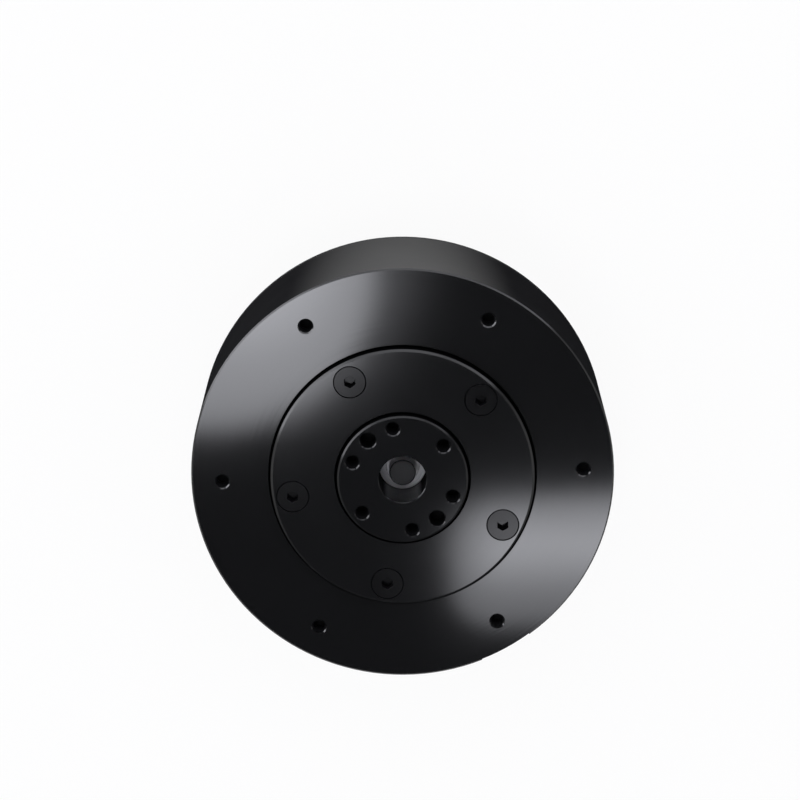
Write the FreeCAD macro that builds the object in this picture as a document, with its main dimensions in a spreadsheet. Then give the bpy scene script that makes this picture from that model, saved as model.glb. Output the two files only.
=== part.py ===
import FreeCAD, Part
import Sketcher
import math
import os
import re

# Robot joint actuator: a round can 39.5 mm tall that holds an outer-rotor motor and a 6:1
# planetary reduction.  +Z is the output axis, and the origin is at the middle of the rear face.
# All lengths are in millimetres and all angles in degrees.

SIZES = [
    # name, value, what it is
    ("case_radius", 39.8, "outside of the can"),
    ("case_length", 30.0, "front ring face to the rear edge of the can"),
    ("cover_rise", 6.7, "rear cover, behind the can"),
    ("front_thickness", 6.0, "front wall of the can"),
    ("case_wall", 4.8, "side wall of the can"),
    ("case_chamfer", 0.3, "front edge of the can"),
    ("rear_chamfer", 0.2, "rear edges of the can and of the back plate"),
    ("mount_inset", 5.8, "mounting holes, in from the outside of the can"),
    ("mount_holes", 6, "count"),
    ("mount_depth", 4.0, "depth of the mounting threads"),
    ("tap_radius", 1.25, "tapping hole of an M3 thread"),
    ("tap_chamfer", 0.25, "mouth of a tapped hole"),
    ("thread_radius", 1.5, "M3 thread, outside"),
    ("thread_end", 0.4, "thread past the end of its screw"),
    ("seat_depth", 2.8, "depth of that bore"),
    ("over", 1.0, "how far a cut runs past the face that it opens"),
    ("seat_play", 0.05, "small gap behind what stands in a seat"),
    ("fit", 0.02, "radial clearance of a seated piece"),
    ("gear_rim", 2.34, "ring gear, from the roots of its teeth to its outside"),
    ("sleeve_wall", 2.6, "sleeve that holds the ring gear and carries the stator"),
    ("lip_overlap", 1.1, "lip under the output bearing, in from the bearing's outside"),
    ("lip_gap", 0.2, "lip to the planets"),
    # wire channel in the side wall
    ("channel_angle", -62, "direction of the wire channel about the axis"),
    ("relief_depth", 0.25, "how far its strip lies below the side wall"),
    ("relief_span", 15, "angle that the strip spans"),
    ("channel_cover_span", 11.5, "angle that the seat of the channel's cover spans"),
    ("channel_cover_play", 0.1, "angle that the cover is narrower"),
    ("channel_span", 9.5, "angle that the channel spans"),
    ("channel_back", 1.5, "wall between the channel and the inside of the can"),
    ("channel_rise", 1.6, "end of the channel, into the front wall"),
    ("channel_cover_wall", 1.0, "thickness of the strip that closes it"),
    ("lead_radius", 0.75, "phase lead over its insulation"),
    ("lead_pitch", 2.1, "spacing of the leads"),
    ("lead_bend", 1.0, "bend radius of the leads"),
    ("lead_room", 0.3, "leads to the sides of their slots"),
    ("lead_landing", 5.2, "where a lead meets the board, from the end of the board's tab"),
    ("lead_window", 2.4, "length of the leads' window in the back plate"),
    # gearbox cover
    ("disc_rise", 1.7, "its face above the ring face"),
    ("disc_gap", 0.13, "radial gap round the gearbox cover"),
    ("seat_land", 4.0, "edge of the cover's seat, out from the cover screws"),
    ("screw_land", 2.5, "cover screws, out from the output bearing"),
    ("flange_gap", 0.25, "radial gap round the output flange"),
    ("disc_web", 2.2, "web in front of the output bearing"),
    ("disc_relief", 0.5, "relief over the bearing's inner ring"),
    ("disc_chamfer", 0.5, "front edge of the gearbox cover"),
    ("fine_chamfer", 0.2, "small edge break"),
    ("cover_screws", 5, "count"),
    ("cover_angle", 44, "direction of the first cover screw"),
    ("head_radius", 3.0, "countersunk M3 head"),
    ("head_sink", 0.05, "head below the face"),
    ("head_rim", 0.2, "straight rim of a countersunk head"),
    ("head_gap", 0.12, "radial gap round a countersunk head"),
    ("shank_clearance", 0.2, "radial clearance of a screw's through hole"),
    ("screw_length", 8.0, "cover screw over all"),
    ("hex_flats", 2.0, "across the flats of the hexagon socket"),
    ("hex_depth", 1.2, "depth of the hexagon socket"),
    # output flange, and its bearing of 25 x 37 x 7
    ("flange_rise", 2.8, "output face above the ring face"),
    ("flange_radius", 12.4, "visible output flange"),
    ("flange_step", 0.1, "step from the flange to the bearing's journal"),
    ("flange_chamfer", 0.45, "its front edge"),
    ("output_circle", 10.0, "radius of the output holes"),
    ("output_holes", 6, "count"),
    ("output_angle", 38.5, "direction of the first output hole"),
    ("output_depth", 6.0, "depth of the output threads"),
    ("dowel_holes", 2, "count"),
    ("dowel_radius", 1.5, "dowel hole"),
    ("dowel_chamfer", 0.2, "its mouth"),
    ("dowel_angle", 128.5, "direction of the first dowel hole"),
    ("dowel_depth", 5.0, "depth"),
    ("pilot_radius", 4.5, "pilot bore, which also seats the nose bearing"),
    ("pilot_chamfer", 0.12, "its mouth"),
    ("bearing_section", 6.0, "output bearing, from its bore to its outside"),
    ("bearing_width", 7.0, "output bearing"),
    ("race_wall", 1.6, "thickness of each of its rings"),
    ("race_step", 0.2, "shoulder, in from the edge of a bearing ring"),
    ("race_chamfer", 0.3, "edge of a bearing ring, as a share of its thickness"),
    ("ball_radius", 1.75, "its balls"),
    ("ball_count", 12, "count"),
    ("ball_play", 0.1, "ball to the groove it runs in"),
    ("shoulder_height", 0.4, "shoulder that keeps a bearing ring off the plate"),
    ("plate_gap", 0.5, "front plate to the lip"),
    ("plate_thickness", 3.0, "front plate of the carrier"),
    ("nose_lift", 1.5, "nose bearing's seat, in front of the plate's rear face"),
    ("nose_width", 3.0, "nose bearing 5 x 9 x 3: width"),
    ("nose_wall", 0.6, "thickness of each of its rings"),
    ("nose_ball", 0.45, "its balls"),
    ("nose_balls", 6, "count"),
    ("shield_drop", 0.1, "shield below the nose bearing's face"),
    ("shield_thickness", 0.2, "shield"),
    ("shield_gap", 0.1, "shield to the inner ring"),
    ("nose_relief", 3.9, "radius of the bore behind the nose bearing"),
    # planetary gears
    ("module", 0.6, "size of the teeth"),
    ("pressure_angle", 20, "of the teeth"),
    ("addendum", 0.8, "tooth tip, as a share of the module"),
    ("dedendum", 1.1, "tooth root, as a share of the module"),
    ("backlash", 0.08, "play between two flanks at the pitch line"),
    ("sun_teeth", 12, "count"),
    ("planet_teeth", 24, "count"),
    ("ring_teeth", 60, "count"),
    ("planets", 3, "count"),
    ("planet_gap", 0.3, "planet to the front plate"),
    ("rear_gap", 0.4, "planet to the rear plate"),
    ("rear_plate", 4.0, "thickness of the carrier's rear plate"),
    ("hub_gap", 0.5, "rear plate to the rotor hub"),
    ("pin_radius", 2.0, "planet pin"),
    ("pin_play", 0.05, "radial play of the bush on its pin"),
    ("bush_radius", 3.2, "outside of the bush"),
    ("pin_seat", 2.6, "how deep a pin stands in the rear plate"),
    ("pin_skin", 0.3, "metal left in front of a pin's hole"),
    ("post_offset", 1.6, "carrier's posts, out from the ring of planet pins"),
    ("post_radius", 2.4, "post"),
    ("sun_gap", 0.52, "rear plate's bore round the tips of the sun"),
    ("journal_land", 2.2, "rear journal, out from the pins"),
    ("carrier_section", 3.5, "rear bearing of 30 x 37 x 4, from its bore to its outside"),
    ("carrier_width", 4.0, "its width"),
    ("carrier_wall", 1.0, "thickness of each of its rings"),
    ("carrier_ball", 0.7, "its balls"),
    ("carrier_balls", 12, "count"),
    ("journal_inset", 0.2, "rear plate, in front of the rear bearing's end"),
    ("m2_radius", 1.0, "M2 thread, outside"),
    ("m2_head", 1.9, "M2 head"),
    ("m2_rim", 0.1, "straight rim of an M2 head"),
    ("m2_socket", 1.3, "across the flats of the M2 socket"),
    ("m2_socket_depth", 0.7, "depth of the M2 socket"),
    ("m2_clearance", 0.15, "radial clearance of an M2 through hole"),
    ("carrier_screw_length", 6.0, "over all"),
    # rotor
    ("rotor_wall", 1.8, "thickness of the rotor ring"),
    ("rotor_play", 0.7, "rotor to the side wall"),
    ("rotor_gap", 0.6, "rotor to the back plate"),
    ("rotor_headroom", 1.1, "rotor to the front wall"),
    ("web_thickness", 1.8, "rotor hub's web"),
    ("web_holes", 6, "lightening holes"),
    ("web_hole_radius", 4.2, "lightening hole"),
    ("boss_gap", 0.7, "raised middle of the web, out from the bearing boss"),
    ("dish_gap", 0.3, "the same, above it"),
    ("dish_chamfer", 0.6, "its edge"),
    ("magnet_count", 28, "count"),
    ("magnet_thickness", 1.95, "radial thickness"),
    ("magnet_gap", 0.5, "between two magnets"),
    ("magnet_margin", 1.0, "magnets past each end of the stack"),
    ("air_gap", 0.5, "stator to the magnets"),
    ("shaft_radius", 2.5, "front of the sun shaft"),
    ("shaft_drop", 2.0, "shaft end below the ring face"),
    ("teeth_run", 3.0, "sun's teeth, behind the planets"),
    ("hub_bore", 3.0, "rear of the sun shaft"),
    ("rotor_journal", 5.0, "rotor bearing 10 x 15 x 4: bore radius"),
    ("rotor_seat", 7.5, "its outside radius"),
    ("rotor_width", 4.0, "its width"),
    ("rotor_race", 0.75, "thickness of each of its rings"),
    ("rotor_ball", 0.5, "its balls"),
    ("rotor_balls", 7, "count"),
    ("boss_wall", 1.8, "boss round the rotor bearing"),
    ("sense_magnet_length", 2.0, "encoder magnet"),
    ("tail_inset", 0.7, "hub's tail, in from the bearing's rear face"),
    # stator
    ("slots", 24, "count"),
    ("yoke_depth", 2.0, "stack behind its slots"),
    ("tooth_width", 3.0, "stator tooth"),
    ("shoe_depth", 1.7, "root of the tooth's shoe, in from the stator's outside"),
    ("shoe_edge", 1.0, "thickness of the shoe's edge"),
    ("slot_opening", 1.4, "between two shoes"),
    ("coil_gap", 0.2, "coil to its tooth"),
    ("coil_wall", 1.2, "thickness of a coil"),
    ("coil_corner", 1.44, "corners of a coil"),
    ("coil_headroom", 0.6, "coils to the front wall"),
    ("coil_tail", 1.3, "coils to the rotor's web"),
    # back plate and driver board
    ("flange_edge", 1.2, "rim of the back plate"),
    ("plate_floor", 2.5, "back plate over all"),
    ("spigot_gap", 0.05, "back plate's spigot in the can"),
    ("lip_height", 0.3, "lip under the rotor bearing"),
    ("lip_width", 1.0, "the same, across"),
    ("rim_screws", 6, "count"),
    ("rim_angle", 28, "direction of the first one"),
    ("rim_screw_length", 5.0, "over all"),
    ("board_thickness", 1.0, "driver board"),
    ("board_gap", 0.9, "board to the posts of the rear cover"),
    ("tab_inset", 2.3, "end of the board's tab, in from the rear cover's outside"),
    ("tab_gap", 1.0, "tab to the sides of the window"),
    ("board_screw_inset", 2.9, "board screws, in from its edge"),
    ("board_standoff", 0.4, "board to the back plate"),
    ("board_screw_length", 2.6, "over all"),
    ("standoff_radius", 2.6, "standoff"),
    ("standoff_depth", 2.0, "depth of its thread"),
    ("chip_height", 0.9, "switches and chips"),
    ("switch_width", 5.0, "power switch"),
    ("switch_length", 6.0, "power switch"),
    ("switch_pitch", 6.4, "from one power switch to the next in a row"),
    ("switch_gap", 1.0, "between the two rows"),
    ("switch_row", -20.0, "where the first row of switches lies"),
    ("chip_width", 7.0, "control chip"),
    ("sense_width", 3.0, "encoder chip"),
    ("can_radius", 2.6, "bus capacitor"),
    ("can_height", 3.2, "bus capacitor"),
    ("can_row", 15.1, "where the row of capacitors lies"),
    ("can_pitch", 6.0, "between two capacitors"),
    # connectors, in a row across the board's tab
    ("socket_length", 7.0, "data socket, front to back"),
    ("socket_height", 3.9, "data socket"),
    ("socket_reach", 0.2, "data sockets, past the board's tab"),
    ("data_width_a", 8.2, "four-way data socket"),
    ("data_width_b", 7.0, "three-way data socket"),
    ("power_width", 10.2, "power socket"),
    ("power_height", 5.2, "power socket"),
    ("power_length", 9.0, "power socket, front to back"),
    ("power_reach", 1.4, "it, past the board's tab"),
    ("socket_wall", 0.6, "walls of the sockets"),
    ("socket_back", 1.5, "back wall of the sockets"),
    ("notch_gap", 0.1, "power socket to the board"),
    ("socket_space", 0.8, "between two sockets"),
    ("power_pin", 1.0, "power pin, radius"),
    ("power_pitch", 5.0, "between the power pins"),
    ("power_recess", 1.0, "power pin, in from the socket's mouth"),
    ("data_pin", 0.5, "data pin, across"),
    # rear cover
    ("cover_inset", 4.3, "rear cover, in from the outside of the can"),
    ("cover_wall", 1.5, "its side wall"),
    ("cover_floor", 1.2, "its floor"),
    ("cover_chamfer", 0.8, "its rear edge"),
    ("window_width", 30.0, "opening for the sockets"),
    ("cover_posts", 4, "count"),
    ("cover_post_angle", 45, "direction of the first one, from the channel"),
    ("cover_post_radius", 2.7, "post"),
    ("post_overlap", 0.1, "post into the cover's side wall"),
    ("cover_screw_length", 8.0, "over all"),
]

# Places and sizes that follow from the ones above.
PLACES = {
    # across: the can, from the outside in
    "case_bore": "case_radius - case_wall",
    "mount_circle": "case_radius - mount_inset",
    "rim_circle": "(case_radius + case_bore)/2",
    "strip_radius": "case_radius - relief_depth",
    "channel_floor": "case_bore + channel_back",
    "rotor_radius": "case_bore - rotor_play",
    "rotor_inside": "rotor_radius - rotor_wall",
    "magnet_inside": "rotor_inside - fit - magnet_thickness",
    "stator_radius": "magnet_inside - air_gap",
    "shoe_radius": "stator_radius - shoe_depth",
    # across: the gears and bearings, from the middle out
    "bearing_bore": "flange_radius + flange_step",
    "bearing_outside": "bearing_bore + bearing_section",
    "disc_bore": "flange_radius + flange_gap",
    "cover_circle": "bearing_outside + screw_land",
    "seat_bore": "cover_circle + seat_land",
    "disc_radius": "seat_bore - disc_gap",
    "lip_bore": "bearing_outside - lip_overlap",
    "plate_radius": "lip_bore - plate_gap",
    "orbit": "module*(sun_teeth + planet_teeth)/2",
    "post_circle": "orbit + post_offset",
    "carrier_hole": "module*(sun_teeth/2 + addendum) + sun_gap",
    "carrier_journal": "orbit + pin_radius + journal_land",
    "carrier_outside": "carrier_journal + carrier_section",
    "sleeve_bore": "module*(ring_teeth/2 + dedendum) + gear_rim",
    "sleeve_radius": "sleeve_bore + sleeve_wall",
    "yoke_radius": "sleeve_radius + yoke_depth",
    "dish_radius": "rotor_seat + boss_wall + boss_gap",
    "dish_outside": "dish_radius + web_thickness",
    "web_hole_circle": "(dish_outside + rotor_inside)/2",
    # along: down from the front
    "ring_face": "cover_rise + case_length",
    "disc_face": "ring_face + disc_rise",
    "flange_face": "ring_face + flange_rise",
    "shaft_front": "ring_face - shaft_drop",
    "case_floor": "ring_face - front_thickness",
    "seat_floor": "ring_face - seat_depth",
    "channel_top": "case_floor + channel_rise",
    "bearing_top": "disc_face - disc_web",
    "bearing_floor": "bearing_top - bearing_width",
    "plate_top": "bearing_floor - shoulder_height",
    "plate_under": "plate_top - plate_thickness",
    "nose_floor": "plate_under + nose_lift",
    "shield_top": "nose_floor + nose_width - shield_drop",
    "planet_top": "plate_under - planet_gap",
    "lip_floor": "planet_top + lip_gap",
    "pin_end": "plate_top - pin_skin",
    "rotor_front": "case_floor - rotor_headroom",
    # along: up from the rear
    "rim_floor": "cover_rise + flange_edge",
    "plate_front": "cover_rise + plate_floor",
    "board_top": "cover_rise - board_standoff",
    "board_under": "board_top - board_thickness",
    "rotor_seat_floor": "cover_rise + lip_height",
    "rotor_seat_top": "rotor_seat_floor + rotor_width",
    "tail_floor": "rotor_seat_floor + tail_inset",
    "shaft_rear": "tail_floor + sense_magnet_length",
    "rotor_under": "plate_front + rotor_gap",
    "web_top": "rotor_under + web_thickness",
    "dish_under": "rotor_seat_top + dish_gap",
    "dish_top": "dish_under + web_thickness",
    "carrier_under": "dish_top + hub_gap",
    "sleeve_end": "carrier_under - journal_inset",
    "sleeve_step": "sleeve_end + carrier_width",
    "carrier_top": "carrier_under + rear_plate",
    "planet_under": "carrier_top + rear_gap",
    "teeth_start": "planet_under - teeth_run",
    # the stack and its coils fill what is left between the front wall and the web
    "coil_inside": "tooth_width/2 + coil_gap",
    "coil_outside": "coil_inside + coil_wall",
    "end_turn": "coil_gap + coil_corner",
    "stator_front": "case_floor - coil_headroom - end_turn",
    "stator_rear": "web_top + coil_tail + end_turn",
    "slot_half_angle": "180/slots",
    # leads, board and sockets
    "lead_start": "(yoke_radius + shoe_radius)/2",
    "lead_high": "case_floor + lead_radius + seat_play",
    "lead_low": "rim_floor + lead_radius + seat_play",
    "lead_side": "channel_floor + lead_radius + seat_play",
    "lead_slot": "2*(lead_pitch + lead_radius + lead_room)",
    "cover_radius": "case_radius - cover_inset",
    "post_hole_circle": "cover_radius - cover_wall - cover_post_radius + post_overlap",
    "board_radius": "post_hole_circle - cover_post_radius - board_gap",
    "board_circle": "board_radius - board_screw_inset",
    "board_tab": "cover_radius - tab_inset",
    "lead_end": "board_tab - lead_landing",
    "socket_face": "board_tab + socket_reach",
    "power_face": "board_tab + power_reach",
    "power_back": "power_face - power_length",
    "power_under": "cover_floor + seat_play",
    "data_under": "board_under - socket_height",
    "row_start": "-(power_width + data_width_a + data_width_b + 2*socket_space)/2",
}

document = FreeCAD.newDocument("joint_actuator")
sheet = document.addObject("Spreadsheet::Sheet", "Sizes")
for row, (name, value, note) in enumerate(SIZES, 1):
    sheet.set("A%d" % row, name)
    sheet.set("B%d" % row, str(value))
    sheet.setAlias("B%d" % row, name)
    sheet.set("C%d" % row, note)
document.recompute()

NAMES = {name for name, value, note in SIZES}
pieces = []


def sized(text):
    """The text of an expression, with each size and place replaced by its cells."""
    def cell(word):
        if word.group() in NAMES:
            return "Sizes." + word.group()
        if word.group() in PLACES:
            return "(" + sized(PLACES[word.group()]) + ")"
        return word.group()
    return re.sub(r"[a-z][a-z_0-9]*", cell, text)


def number(text):
    """What an expression comes to now."""
    found = sheet.evalExpression(sized(str(text)))
    return float(getattr(found, "Value", found))


def bind(thing, where, text):
    thing.setExpression(where, sized(str(text)))


def new_body(label):
    body = document.addObject("PartDesign::Body", label)
    body.AllowCompound = True
    return body


def origin_part(body, role):
    return next(part for part in body.Origin.OriginFeatures if part.Role == role)


def corner_points(outline):
    """Each corner as one point, or as two where a third entry gives it a chamfer."""
    points = []
    spots = [(number(corner[0]), number(corner[1])) for corner in outline]
    for index, corner in enumerate(outline):
        if len(corner) == 2:
            points.append(corner)
            continue
        for other in (spots[index - 1], spots[(index + 1) % len(spots)]):
            shift = [other[0] - spots[index][0], other[1] - spots[index][1]]
            along = 0 if abs(shift[0]) > abs(shift[1]) else 1
            moved = [corner[0], corner[1]]
            way = "+" if shift[along] > 0 else "-"
            moved[along] = "%s %s %s" % (corner[along], way, corner[2])
            points.append(tuple(moved))
    return points


def draw(body, name, plane, outlines=(), circles=(), x="0", y="0", z="0"):
    """A sketch on one of the body's own planes, moved by x, y, z along the plane's axes."""
    sketch = body.newObject("Sketcher::SketchObject", name)
    sketch.AttachmentSupport = (origin_part(body, plane), [""])
    sketch.MapMode = "FlatFace"
    for axis, text in (("x", x), ("y", y), ("z", z)):
        if text != "0":
            bind(sketch, "AttachmentOffset.Base." + axis, text)

    def hold(kind, edge, spot, text):
        sketch.addConstraint(Sketcher.Constraint(kind, edge, *spot, number(text)))
        bind(sketch, "Constraints[%d]" % (sketch.ConstraintCount - 1), text)

    for outline in outlines:
        points = corner_points(outline)
        spots = [FreeCAD.Vector(number(px), number(py), 0) for px, py in points]
        first = sketch.GeometryCount
        for index, spot in enumerate(spots):
            sketch.addGeometry(Part.LineSegment(spot, spots[(index + 1) % len(spots)]), False)
        for index, (px, py) in enumerate(points):
            before = first + (index - 1) % len(points)
            sketch.addConstraint(Sketcher.Constraint("Coincident", before, 2, first + index, 1))
            hold("DistanceX", first + index, [1], px)
            hold("DistanceY", first + index, [1], py)
    for cx, cy, radius in circles:
        centre = FreeCAD.Vector(number(cx), number(cy), 0)
        circle = Part.Circle(centre, FreeCAD.Vector(0, 0, 1), number(radius))
        edge = sketch.addGeometry(circle, False)
        hold("DistanceX", edge, [3], cx)
        hold("DistanceY", edge, [3], cy)
        hold("Radius", edge, [], radius)
    return sketch


def turn(body, name, outline=None, circles=(), circle=None, angle="0", span=None, count=None,
         cut=False):
    """Revolve a (radius, height) outline, about an axis that stands on a circle when one is given."""
    away = {}
    if circle:
        away = {"x": "%s*cos(%s)" % (circle, angle), "z": "-(%s)*sin(%s)" % (circle, angle)}
    sketch = draw(body, name + "_profile", "XZ_Plane", [outline] if outline else [], circles, **away)
    feature = body.newObject("PartDesign::Groove" if cut else "PartDesign::Revolution", name)
    feature.Profile = sketch
    feature.ReferenceAxis = (sketch, ["V_Axis"])
    if span is None:
        feature.Angle = 360
    else:
        feature.Midplane = True
        bind(feature, "Angle", span)
    return around(body, feature, count)


def around(body, feature, count):
    """Repeat a feature round the output axis when a count is given."""
    body.Tip = feature
    if count is not None:
        pattern = body.newObject("PartDesign::PolarPattern", feature.Name + "_ring")
        pattern.Originals = [feature]
        pattern.Axis = (origin_part(body, "Z_Axis"), [""])
        pattern.Angle = 360
        bind(pattern, "Occurrences", count)
        body.Tip = pattern
    return body.Tip


def extrude(body, name, low, high, outlines=(), circles=(), plane="XY_Plane", count=None,
            cut=False):
    """Pad a drawing, or pocket it, from one height to another along the plane's axis."""
    sketch = draw(body, name + "_sketch", plane, outlines, circles, z=low)
    feature = body.newObject("PartDesign::Pocket" if cut else "PartDesign::Pad", name)
    feature.Profile = sketch
    feature.Reversed = cut
    bind(feature, "Length", "%s - (%s)" % (high, low))
    return around(body, feature, count)


def rectangle(x_low, x_high, y_low, y_high):
    return [(x_low, y_low), (x_high, y_low), (x_high, y_high), (x_low, y_high)]


def across(x_low, x_high, width):
    """A rectangle that straddles the X axis."""
    return rectangle(x_low, x_high, "-(%s)/2" % width, "(%s)/2" % width)


def hexagon(flats, circle, angle):
    """A hexagon for a screw's socket, centred on a circle."""
    x, y = point_on(circle, angle)
    corner = "%s + %s/sqrt(3)*%s(%d)"
    return [(corner % (x, flats, "cos", 60*side), corner % (y, flats, "sin", 60*side))
            for side in range(6)]


def point_on(circle, angle):
    return "%s*cos(%s)" % (circle, angle), "%s*sin(%s)" % (circle, angle)


def ring(inner, outer, low, high):
    return [(inner, low), (outer, low), (outer, high), (inner, high)]


def straight_hole(radius, mouth, end, chamfer="0", way="-"):
    """Outline of a hole, from its mouth to its end; way is - where it goes down."""
    if chamfer == "0":
        return [("0", mouth), (radius, mouth), (radius, end), ("0", end)]
    return [("0", mouth), ("%s + %s" % (radius, chamfer), mouth),
            (radius, "%s %s %s" % (mouth, way, chamfer)), (radius, end), ("0", end)]


def countersunk(radius, head, rim, face, end, way="-"):
    """Outline of a countersunk screw, or of its hole; way is - where the shank points down."""
    cone_end = "%s %s (%s + %s - (%s))" % (face, way, rim, head, radius)
    return [("0", face), (head, face), (head, "%s %s %s" % (face, way, rim)), (radius, cone_end),
            (radius, end), ("0", end)]


def m2_seat(face, end):
    """Outline of the hole for a small screw whose head faces the rear."""
    return countersunk("m2_radius + m2_clearance", "m2_head + head_gap/2", "m2_rim + head_sink",
                       face, end, "+")


def finish(body, angle="0"):
    """Keep a sub-part, turned about the output axis."""
    upright = FreeCAD.Rotation(FreeCAD.Vector(0, 0, 1), 0)
    body.Placement = FreeCAD.Placement(FreeCAD.Vector(), upright)
    if angle != "0":
        bind(body, "Placement.Rotation.Angle", angle)
    pieces.append(body)


# ---- can, gearbox cover and back plate -----------------------------------------------------

def front_housing():
    """The can, drawn with its wire channel along +X and then turned to the channel's direction."""
    body = new_body("front_housing")
    turn(body, "can", [
        ("case_radius", "rim_floor", "rear_chamfer"), ("case_radius", "ring_face", "case_chamfer"),
        ("seat_bore", "ring_face", "case_chamfer"), ("seat_bore", "seat_floor"),
        ("bearing_outside + fit", "seat_floor"), ("bearing_outside + fit", "bearing_floor"),
        ("lip_bore", "bearing_floor"), ("lip_bore", "lip_floor"),
        ("sleeve_bore", "lip_floor"), ("sleeve_bore", "sleeve_end"),
        ("sleeve_radius", "sleeve_end"), ("sleeve_radius", "case_floor"),
        ("case_bore", "case_floor"), ("case_bore", "rim_floor")])
    turn(body, "mount_thread",
         straight_hole("tap_radius", "ring_face", "ring_face - mount_depth", "tap_chamfer"),
         circle="mount_circle", angle="-channel_angle", count="mount_holes", cut=True)
    turn(body, "cover_thread",
         straight_hole("thread_radius + fit", "seat_floor", "disc_face - screw_length - thread_end"),
         circle="cover_circle", angle="(cover_angle - channel_angle)", count="cover_screws", cut=True)
    turn(body, "rim_thread",
         straight_hole("m2_radius + fit", "rim_floor", "cover_rise + rim_screw_length + thread_end"),
         circle="rim_circle", angle="(rim_angle - channel_angle)", count="rim_screws", cut=True)
    outside = "case_radius + over"
    turn(body, "relief", ring("strip_radius", outside, "rim_floor - over", "ring_face + over"),
         span="relief_span", cut=True)
    turn(body, "channel_seat",
         ring("strip_radius - channel_cover_wall - fit", outside, "rim_floor - over", "channel_top"),
         span="channel_cover_span", cut=True)
    turn(body, "channel", ring("channel_floor", outside, "rim_floor - over", "channel_top"),
         span="channel_span", cut=True)
    extrude(body, "lead_groove", "case_floor - over", "channel_top",
            [across("lead_start - lead_window", "channel_floor + over", "lead_slot")], cut=True)
    extrude(body, "lead_exit", "rim_floor - over", "lead_low + 2*lead_radius",
            [across("case_bore - over", "channel_floor + over", "lead_slot")], cut=True)
    finish(body, "channel_angle")


def channel_cover():
    body = new_body("channel_cover")
    turn(body, "strip",
         ring("strip_radius - channel_cover_wall", "strip_radius", "rim_floor", "channel_top - fit"),
         span="(channel_cover_span - channel_cover_play)")
    finish(body, "channel_angle")


def gearbox_cover():
    """The raised disc: it fills the can's bore and clamps the output bearing."""
    body = new_body("gearbox_cover")
    turn(body, "disc", [
        ("disc_bore", "disc_face", "fine_chamfer"), ("disc_radius", "disc_face", "disc_chamfer"),
        ("disc_radius", "seat_floor"), ("bearing_outside + fit", "seat_floor"),
        ("bearing_outside + fit", "bearing_top"), ("bearing_outside - race_wall", "bearing_top"),
        ("bearing_outside - race_wall", "bearing_top + disc_relief"),
        ("disc_bore", "bearing_top + disc_relief")])
    turn(body, "screw_seat",
         countersunk("thread_radius + shank_clearance", "head_radius + head_gap",
                     "head_rim + head_sink", "disc_face", "seat_floor - over"),
         circle="cover_circle", angle="cover_angle", count="cover_screws", cut=True)
    finish(body)


def back_plate():
    """Closes the can, seats the rotor bearing and carries the driver board."""
    body = new_body("back_plate")
    turn(body, "plate", [
        ("rotor_seat - lip_width", "cover_rise"), ("case_radius", "cover_rise", "rear_chamfer"),
        ("case_radius", "rim_floor", "rear_chamfer"), ("case_bore - spigot_gap", "rim_floor"),
        ("case_bore - spigot_gap", "plate_front"), ("rotor_seat + boss_wall", "plate_front"),
        ("rotor_seat + boss_wall", "rotor_seat_top"), ("rotor_seat + fit", "rotor_seat_top"),
        ("rotor_seat + fit", "rotor_seat_floor"), ("rotor_seat - lip_width", "rotor_seat_floor")])
    extrude(body, "standoff", "board_top", "cover_rise",
            circles=[(*point_on("board_circle", "cover_post_angle"), "standoff_radius")],
            count="cover_posts")
    turn(body, "standoff_thread",
         straight_hole("m2_radius + fit", "board_top", "cover_rise + standoff_depth"),
         circle="board_circle", angle="cover_post_angle", count="cover_posts", cut=True)
    turn(body, "post_thread",
         straight_hole("m2_radius + fit", "cover_rise", "cover_rise + standoff_depth"),
         circle="post_hole_circle", angle="cover_post_angle", count="cover_posts", cut=True)
    turn(body, "rim_seat", m2_seat("cover_rise", "rim_floor + over"),
         circle="rim_circle", angle="(rim_angle - channel_angle)", count="rim_screws", cut=True)
    window = ("lead_end - lead_window/2", "lead_end + lead_window/2")
    extrude(body, "lead_groove", "rim_floor", "plate_front + over",
            [across(window[0], "case_bore + over", "lead_slot")], cut=True)
    extrude(body, "lead_opening", "cover_rise - over", "rim_floor + over",
            [across(*window, "lead_slot")], cut=True)
    finish(body, "channel_angle")


def screws(label, radius, head, rim, flats, depth, face, end, circle, angle, count, way="-"):
    """A ring of identical countersunk hexagon-socket screws."""
    body = new_body(label)
    turn(body, "screw", countersunk(radius, head, rim, face, end, way),
         circle=circle, angle=angle, count=count)
    if way == "-":
        socket = (face + " - " + depth, face + " + over")
    else:
        socket = (face + " - over", face + " + " + depth)
    extrude(body, "socket", *socket, [hexagon(flats, circle, angle)], count=count, cut=True)
    finish(body)


def m2_screws(label, face, length, circle, angle, count):
    """Small screws whose heads face the rear."""
    screws(label, "m2_radius", "m2_head", "m2_rim", "m2_socket", "m2_socket_depth", face,
           "%s + %s" % (face, length), circle, angle, count, "+")


# ---- bearings -------------------------------------------------------------------------------

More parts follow.
